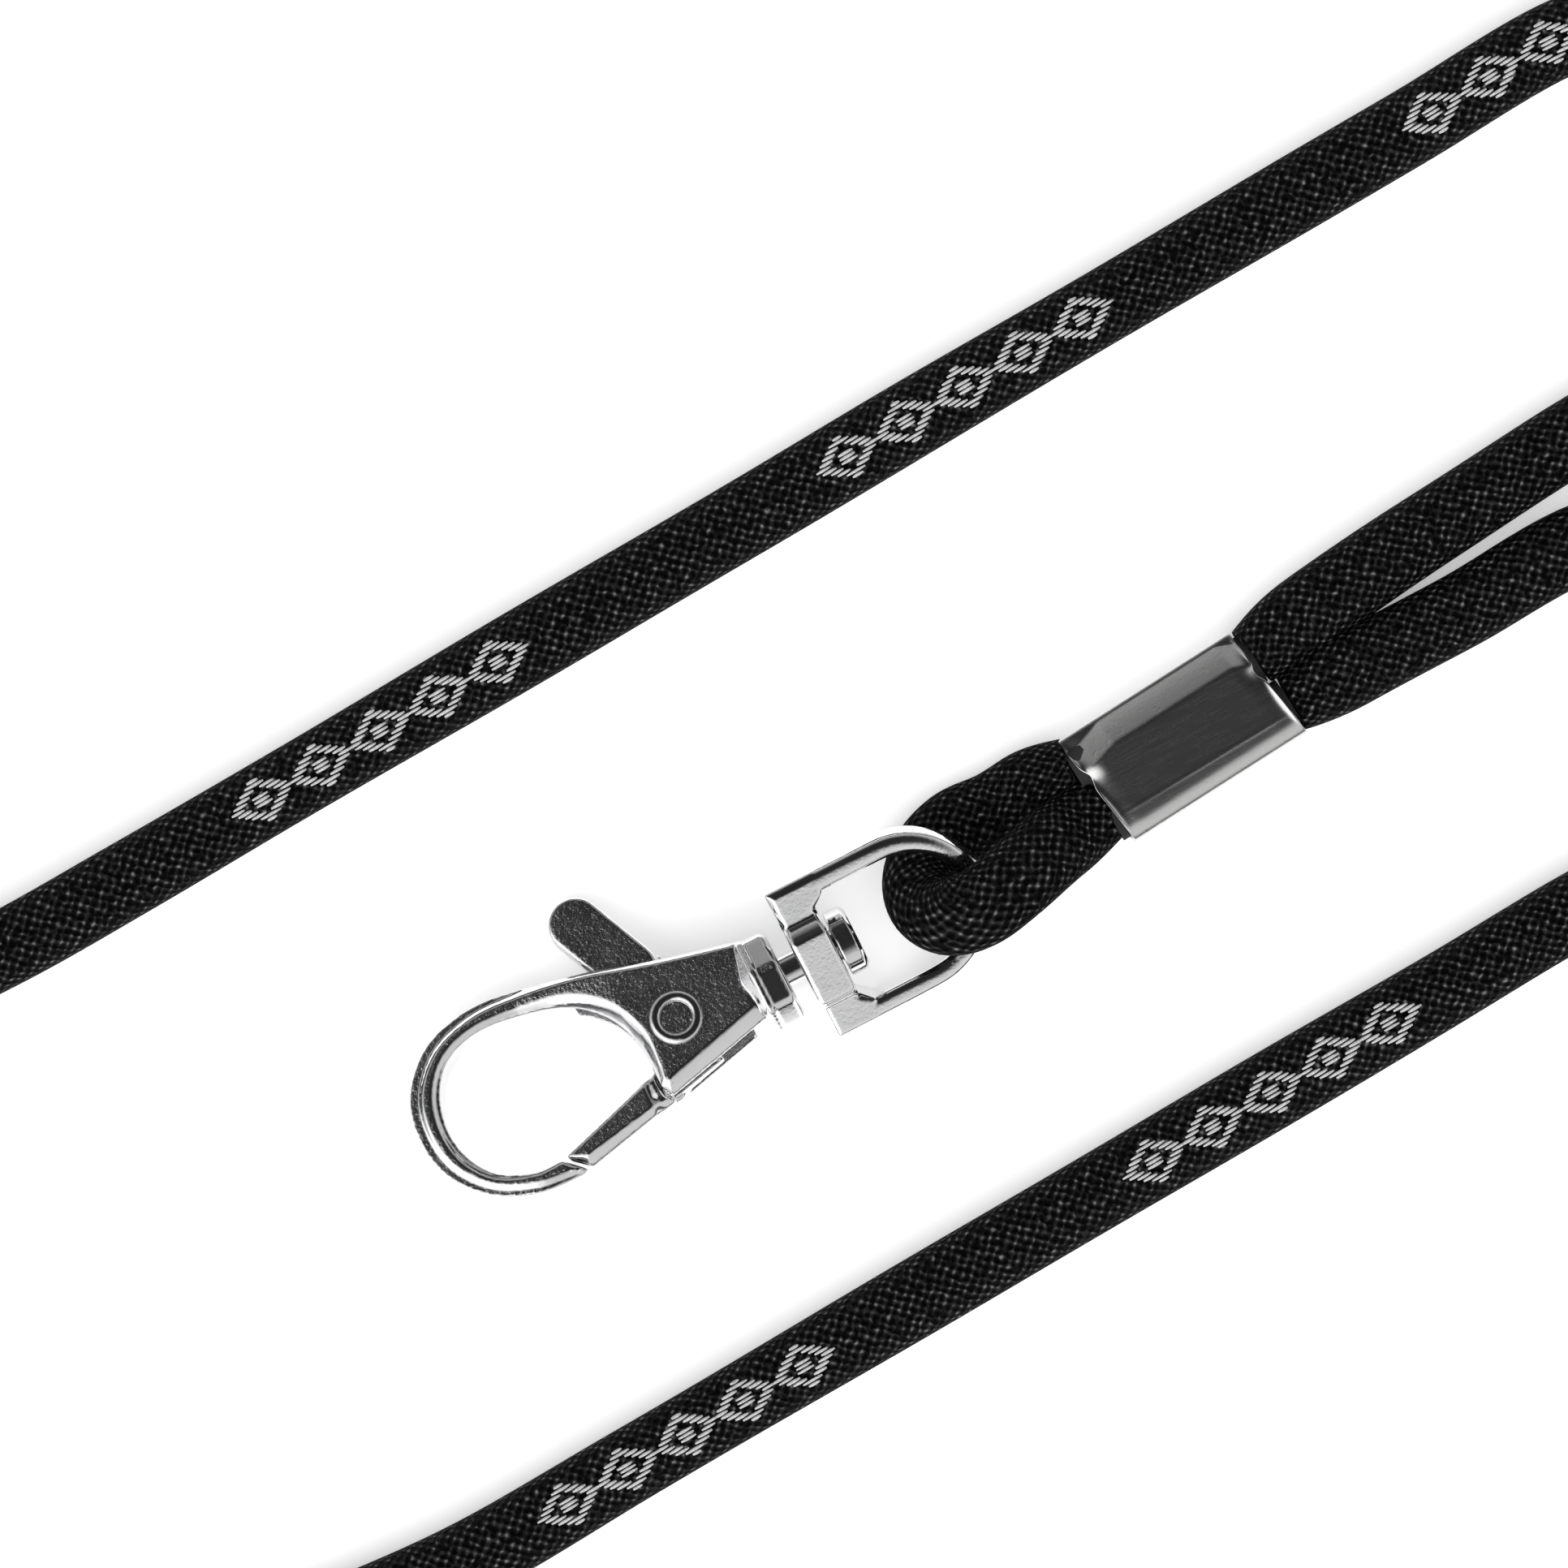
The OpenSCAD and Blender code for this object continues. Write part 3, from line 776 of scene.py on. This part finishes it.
def lathe(verts, faces, profile, radius_at=lambda angle: 1.0, sides=96):
    """Adds a solid turned about X from (x, radius) pairs."""
    first = len(verts)
    for x, r in profile:
        for k in range(sides):
            a = 2 * math.pi * k / sides
            verts.append(Vector((x, r * radius_at(a) * math.cos(a), r * radius_at(a) * math.sin(a))))
    join_rings(faces, first, sides, len(profile))


def soften(piece, voxel, passes):
    """Joins a piece's solids into one skin and rounds its edges; its own mesh stays."""
    remesh = piece.modifiers.new("skin", "REMESH")
    remesh.mode = "VOXEL"
    remesh.voxel_size = voxel
    remesh.use_smooth_shade = True
    smooth = piece.modifiers.new("soften", "SMOOTH")
    smooth.factor = 0.5
    smooth.iterations = passes
    return piece


def casting(name, verts, faces, roll, voxel_mm, passes):
    """Makes one piece of the solids drawn in mm, rolled and put in place."""
    turn = Matrix.Rotation(roll, 3, "X")
    piece = mesh_piece(name, [(turn @ v + AXIS_PLACE_MM) * MM for v in verts], faces)
    mesh = bmesh.new()
    mesh.from_mesh(piece.data)
    bmesh.ops.recalc_face_normals(mesh, faces=mesh.faces)
    mesh.to_mesh(piece.data)
    mesh.free()
    return soften(piece, voxel_mm * MM, passes)


def level(height):
    """A flat face of a plate, at one height."""
    return lambda x, y: height


def smooth_edge(points):
    """An outline's curve, with each point's rounding radius carried in Z."""
    return smooth_route([Vector(p) for p in points], 5)


def cheek_half(x, y=0):
    """Half the hook's thickness: thin at the far end of the wire, full at the cheeks."""
    marks = [(-20, WIRE_HALF), (-9, WIRE_HALF + 0.1), (-3, CHEEK_HALF), (9, CHEEK_HALF)]
    for (xa, za), (xb, zb) in zip(marks, marks[1:]):
        if x <= xb:
            return za + (zb - za) * max(0, (x - xa) / (xb - xa))
    return CHEEK_HALF


def make_hook():
    """Two cheeks with the slot between them, filled at the wire and the neck, and the collar."""
    outline = smooth_edge(OUTER_EDGE) + smooth_edge(INNER_EDGE) + [Vector(p) for p in LOWER_EDGE]
    verts, faces = [], []
    loop = even_loop(outline)
    plate(verts, faces, loop, level(SLOT_HALF), cheek_half, back=0)
    plate(verts, faces, loop, lambda x, y: -cheek_half(x), level(-SLOT_HALF), front=0)
    wire = [Vector((p.x, p.y, 0.02)) for p in outline if p.x < SLOT_LEFT]
    plate(verts, faces, even_loop(wire), level(-FILL_HALF), level(FILL_HALF))
    neck = [(SLOT_RIGHT, 3.15, 0.02), (SLOT_RIGHT, -2.7, 0.02), (NECK_END, -2.4, 0.02), (NECK_END, 2.8, 0.02)]
    plate(verts, faces, even_loop(neck, 0.15), level(-FILL_HALF), level(FILL_HALF))

    def facet(a):
        """Turns the collar's circle into eight flats with rounded corners."""
        part = (a % (2 * FACET)) - FACET
        return min(math.cos(FACET) / math.cos(part), FACET_CORNER)

    lathe(verts, faces, COLLAR, facet)
    return casting("hook_casting", verts, faces, HOOK_ROLL, 0.10, 3)


def capsule(a, ra, b, rb, rounding):
    """Outline round two circles."""
    ring = []
    for (cx, cy), r in ((a, ra), (b, rb)):
        for t in range(48):
            turn = t * math.pi / 24
            ring.append((cx + r * math.cos(turn), cy + r * math.sin(turn)))
    order = convex_hull_2d([Vector(p) for p in ring])
    return [Vector((*ring[i], rounding)) for i in order]


TAB_ROOT, TAB_END, TAB_RADIUS = (-1.3, 4.6), (-3.2, 8.95), 1.85
ARM_ROOT, LIP_ROOT = (-2.3, -3.6), (1.05, -2.85)
HUB_RADIUS, HUB_LOW, HUB_HIGH = 2.6, -1.1, 0.1
THUMB_HALF, LIP_HALF = 0.9, 1.1
GATE_ARM = [
    (-2.5, -4.54, 0.5), (-2.9, -2.287, 0.3), (-6.5, -3.4, 0.3), (-10.2, -4.55, 0.25),
    (-10.35, -4.7, 0.25), (-10.2, -5.0, 0.3), (-9.1, -5.92, 0.75)]
# The lever's lip along the lower edge of the slot.
GATE_LIP = [
    (-2.9, -3.5, 0.1), (-2.5, -4.35, 0.5), (1.55, -3.4, 0.65), (1.3, -2.75, 0.1), (-1.9, -3.0, 0.1)]


def arm_half(x, y=0):
    """Half the gate's thickness: full past the cheeks, thin between them."""
    return 1.5 - 0.4 * min(1, max(0, (x + 4.0) / 0.7))


def make_gate():
    """Hub with a web to each of the tab, the arm and the lip, then those three."""
    verts, faces = [], []
    for root, radius in ((TAB_ROOT, 1.9), (ARM_ROOT, 0.9), (LIP_ROOT, 0.3)):
        web = capsule((0, 0), HUB_RADIUS, root, radius, 0.05)
        plate(verts, faces, even_loop(web, 0.25), level(HUB_LOW), level(HUB_HIGH))
    lip = even_loop(GATE_LIP)
    plate(verts, faces, lip, level(-LIP_HALF), level(LIP_HALF), front=1.2, back=1.2)
    tab = even_loop(capsule(TAB_ROOT, TAB_RADIUS, TAB_END, TAB_RADIUS, 0.28))
    plate(verts, faces, tab, level(-THUMB_HALF), level(THUMB_HALF))
    arm = even_loop(GATE_ARM)
    plate(verts, faces, arm, lambda x, y: -arm_half(x), arm_half, front=1.1, back=1.1)
    return casting("gate_casting", verts, faces, HOOK_ROLL, 0.09, 2)


EYE_HALF, ARM_WIDTH, EYE_DEPTH, EYE_ARCH_X = 5.75, 1.55, 2.2, 16.2
EYE_BASE_START, EYE_BASE_END, BOSS_RADIUS, BOSS_FLAT = 8.6, 11.2, 3.3, 2.35
EYE_CORNER, EYE_ARMS_END, EYE_ARCH_BLEND = 0.8, 14, 6
EYE_EDGE, EYE_INNER_EDGE = 0.36, 0.1


def make_eye():
    """Base bar with filled inner corners, barrel boss, and one bar bent round as arms and arch."""
    middle = EYE_HALF - ARM_WIDTH / 2
    arm = (EYE_BASE_START + 1, 12, EYE_ARMS_END)
    path = [Vector((x, -middle, 0)) for x in arm]
    for k in range(29):
        t = math.pi * (k / 28 - 0.5)
        path.append(Vector((EYE_ARCH_X + middle * math.cos(t), middle * math.sin(t), 0)))
    path += [Vector((x, middle, 0)) for x in reversed(arm)]
    points = evenly(path, 0.25)[0]
    verts, faces = [], []
    sides = 32
    half_w, half_d = ARM_WIDTH / 2, EYE_DEPTH / 2
    for p, (_, side, up) in zip(points, frames(points)):
        # The arms are nearly square in section, and the arch is rounder.
        power = 3.4 - 1.2 * min(1, max(0, (p.x - EYE_ARMS_END) / EYE_ARCH_BLEND))
        for k in range(sides):
            a = 2 * math.pi * k / sides
            r = fullness(math.cos(a), math.sin(a), power)
            verts.append(p + side * half_w * r * math.cos(a) + up * half_d * r * math.sin(a))
    join_rings(faces, 0, sides, len(points))
    inner, corner = EYE_HALF - ARM_WIDTH, EYE_BASE_END + EYE_CORNER
    base = [
        (EYE_BASE_START, -EYE_HALF, EYE_EDGE), (corner, -EYE_HALF, EYE_EDGE),
        (corner, -inner, EYE_INNER_EDGE), (EYE_BASE_END, -inner + EYE_CORNER, EYE_EDGE),
        (EYE_BASE_END, inner - EYE_CORNER, EYE_EDGE), (corner, inner, EYE_INNER_EDGE),
        (corner, EYE_HALF, EYE_EDGE), (EYE_BASE_START, EYE_HALF, EYE_EDGE)]
    plate(verts, faces, even_loop(base), level(-half_d), level(half_d))
    r = BOSS_RADIUS
    boss = [(EYE_BASE_START, r - 0.35), (EYE_BASE_START + 0.1, r - 0.12), (EYE_BASE_START + 0.3, r),
            (EYE_BASE_END - 0.3, r), (EYE_BASE_END - 0.1, r - 0.12), (EYE_BASE_END, r - 0.35)]
    lathe(verts, faces, boss, lambda a: min(1.0, BOSS_FLAT / (r * max(abs(math.sin(a)), 1e-6))))
    return casting("eye_casting", verts, faces, EYE_ROLL, 0.10, 3)


# Rivet: height above the hook's middle and radius, from the back head to the hole.
RIVET = [
    (-2.70, 0.3), (-2.72, 1.4), (-2.62, 1.68), (-2.40, 1.76), (-2.35, 1.40), (2.35, 1.40),
    (2.38, 1.76), (2.50, 1.75), (2.64, 1.64), (2.71, 1.47), (2.71, 1.30), (2.64, 1.14),
    (2.50, 1.05), (2.30, 1.01), (-0.80, 0.99), (-1.0, 0.85), (-1.0, 0.05)]


def make_rivet():
    """Rivet turned about X, then stood up along Z."""
    verts, faces = [], []
    lathe(verts, faces, RIVET)
    upright = [Vector((v.z, v.y, v.x)) for v in verts]
    return casting("rivet_head", upright, faces, HOOK_ROLL, 0.06, 3)


# ---------------------------------------------------------------- set
def make_floor():
    """Plain pale floor, bright enough to print as the photograph's white."""
    bpy.ops.mesh.primitive_plane_add(size=3)
    floor = bpy.context.object
    floor.name = "floor"
    n = Nodes("floor_white")
    n.put(n.shader, "Base Color", (0.93, 0.93, 0.93, 1))
    n.put(n.shader, "Roughness", 0.9)
    n.put(n.shader, "Specular IOR Level", 0.0)
    n.put(n.shader, "Emission Color", (1, 1, 1, 1))
    n.put(n.shader, "Emission Strength", 0.34)
    wear(floor, n.material)


def toward(tree, coords, axis, stops):
    """Brightness of the sky by how nearly a direction points along an axis."""
    dot = tree.nodes.new("ShaderNodeVectorMath")
    dot.operation = "DOT_PRODUCT"
    dot.inputs[1].default_value = Vector(axis).normalized()
    ramp = tree.nodes.new("ShaderNodeValToRGB")
    tree.links.new(coords.outputs["Generated"], dot.inputs[0])
    tree.links.new(dot.outputs["Value"], ramp.inputs[0])
    elements = ramp.color_ramp.elements
    while len(elements) < len(stops):
        elements.new(0.5)
    for element, (at, value) in zip(elements, stops):
        element.position = at
        element.color = (value, value, value, 1)
    return ramp.outputs[0]


def mix_light(tree, operation, a, b):
    """The sum or product of two brightnesses."""
    node = tree.nodes.new("ShaderNodeVectorMath")
    node.operation = operation
    tree.links.new(a, node.inputs[0])
    tree.links.new(b, node.inputs[1])
    return node.outputs[0]


def make_sky():
    """Dark above, bright round the sides, a dark line low down, and a brighter side to -X."""
    world = bpy.data.worlds.new("studio")
    bpy.context.scene.world = world
    world.use_nodes = True
    tree = world.node_tree
    coords = tree.nodes.new("ShaderNodeTexCoord")
    sky = toward(
        tree, coords, (0.10, 0.30, 0.95),
        [(0.0, 0.8), (0.36, 0.75), (0.56, 0.38), (0.76, 0.04), (1.0, 0.02)])
    line = toward(tree, coords, (0, 0, 1), [(0.0, 0.12), (0.10, 0.12), (0.17, 1.0), (1.0, 1.0)])
    key = toward(
        tree, coords, (-0.85, -0.25, 0.45), [(0.0, 0.0), (0.62, 0.0), (0.85, 1.0), (1.0, 1.0)])
    total = mix_light(tree, "ADD", mix_light(tree, "MULTIPLY", sky, line), key)
    background = tree.nodes["Background"]
    tree.links.new(total, background.inputs["Color"])
    background.inputs["Strength"].default_value = 1.0


def make_lamp():
    """Wide overhead light. It isn't seen in reflections."""
    sun = bpy.data.lights.new("overhead", "SUN")
    sun.energy = 2.3
    sun.angle = math.radians(85)
    lamp = bpy.data.objects.new("overhead", sun)
    lamp.rotation_euler = (math.radians(16), 0, 0)
    lamp.visible_glossy = False
    bpy.context.collection.objects.link(lamp)


# ---------------------------------------------------------------- build
bpy.context.scene.view_settings.view_transform = "Standard"
make_camera()
neck_cord, neck_points, neck_at, neck_length = make_neck_cord()
motif = make_motif(neck_points, neck_at, neck_length)
hook_loop = make_hook_loop()
strands = make_crimped_strands()
crimp = make_crimp()
wrap = make_tie()
make_floor()
make_sky()
make_lamp()

# The weave's colour holds painted shade in its pores and a painted highlight on its crowns.
cord_weave = woven("cord_weave", 0.78, 0.66, 0.0006, 0.20)
wear(neck_cord, cord_weave)
wear(hook_loop, cord_weave)
wear(strands, cord_weave)
wear(motif, thread_material())
wear(crimp, satin_sheet())
wear(wrap, wrap_material())

hook_casting = make_hook()
gate_casting = make_gate()
eye_casting = make_eye()
rivet = make_rivet()
hook_nickel = cast_nickel("hook_nickel", -HOOK_ROLL)
wear(hook_casting, hook_nickel)
wear(gate_casting, hook_nickel)
wear(eye_casting, cast_nickel("eye_nickel", -EYE_ROLL, grain=0.3, tint=0.85))
wear(soften(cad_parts["swivel_pin"], 0.00009, 4), cast_nickel("pin_nickel", -HOOK_ROLL, grain=0.3))
wear(rivet, cast_nickel("rivet_nickel", -HOOK_ROLL, grain=0.0))
wear(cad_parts["gate_spring"], wire_material())
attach(hook_casting, "hook")
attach(gate_casting, "gate")
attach(eye_casting, "eye")
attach(rivet, "hook")
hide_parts("hook_body")
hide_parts("gate_lever")
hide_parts("swivel_eye")
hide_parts("gate_rivet")

for piece in (neck_cord, motif, hook_loop, strands, crimp, wrap):
    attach(piece, "strap")
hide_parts("neck_cord_upper", "neck_cord_lower", "cord_coil")
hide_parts("hook_loop")
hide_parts("crimped_cord")
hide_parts("crimp_sleeve")
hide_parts("coil_tie")
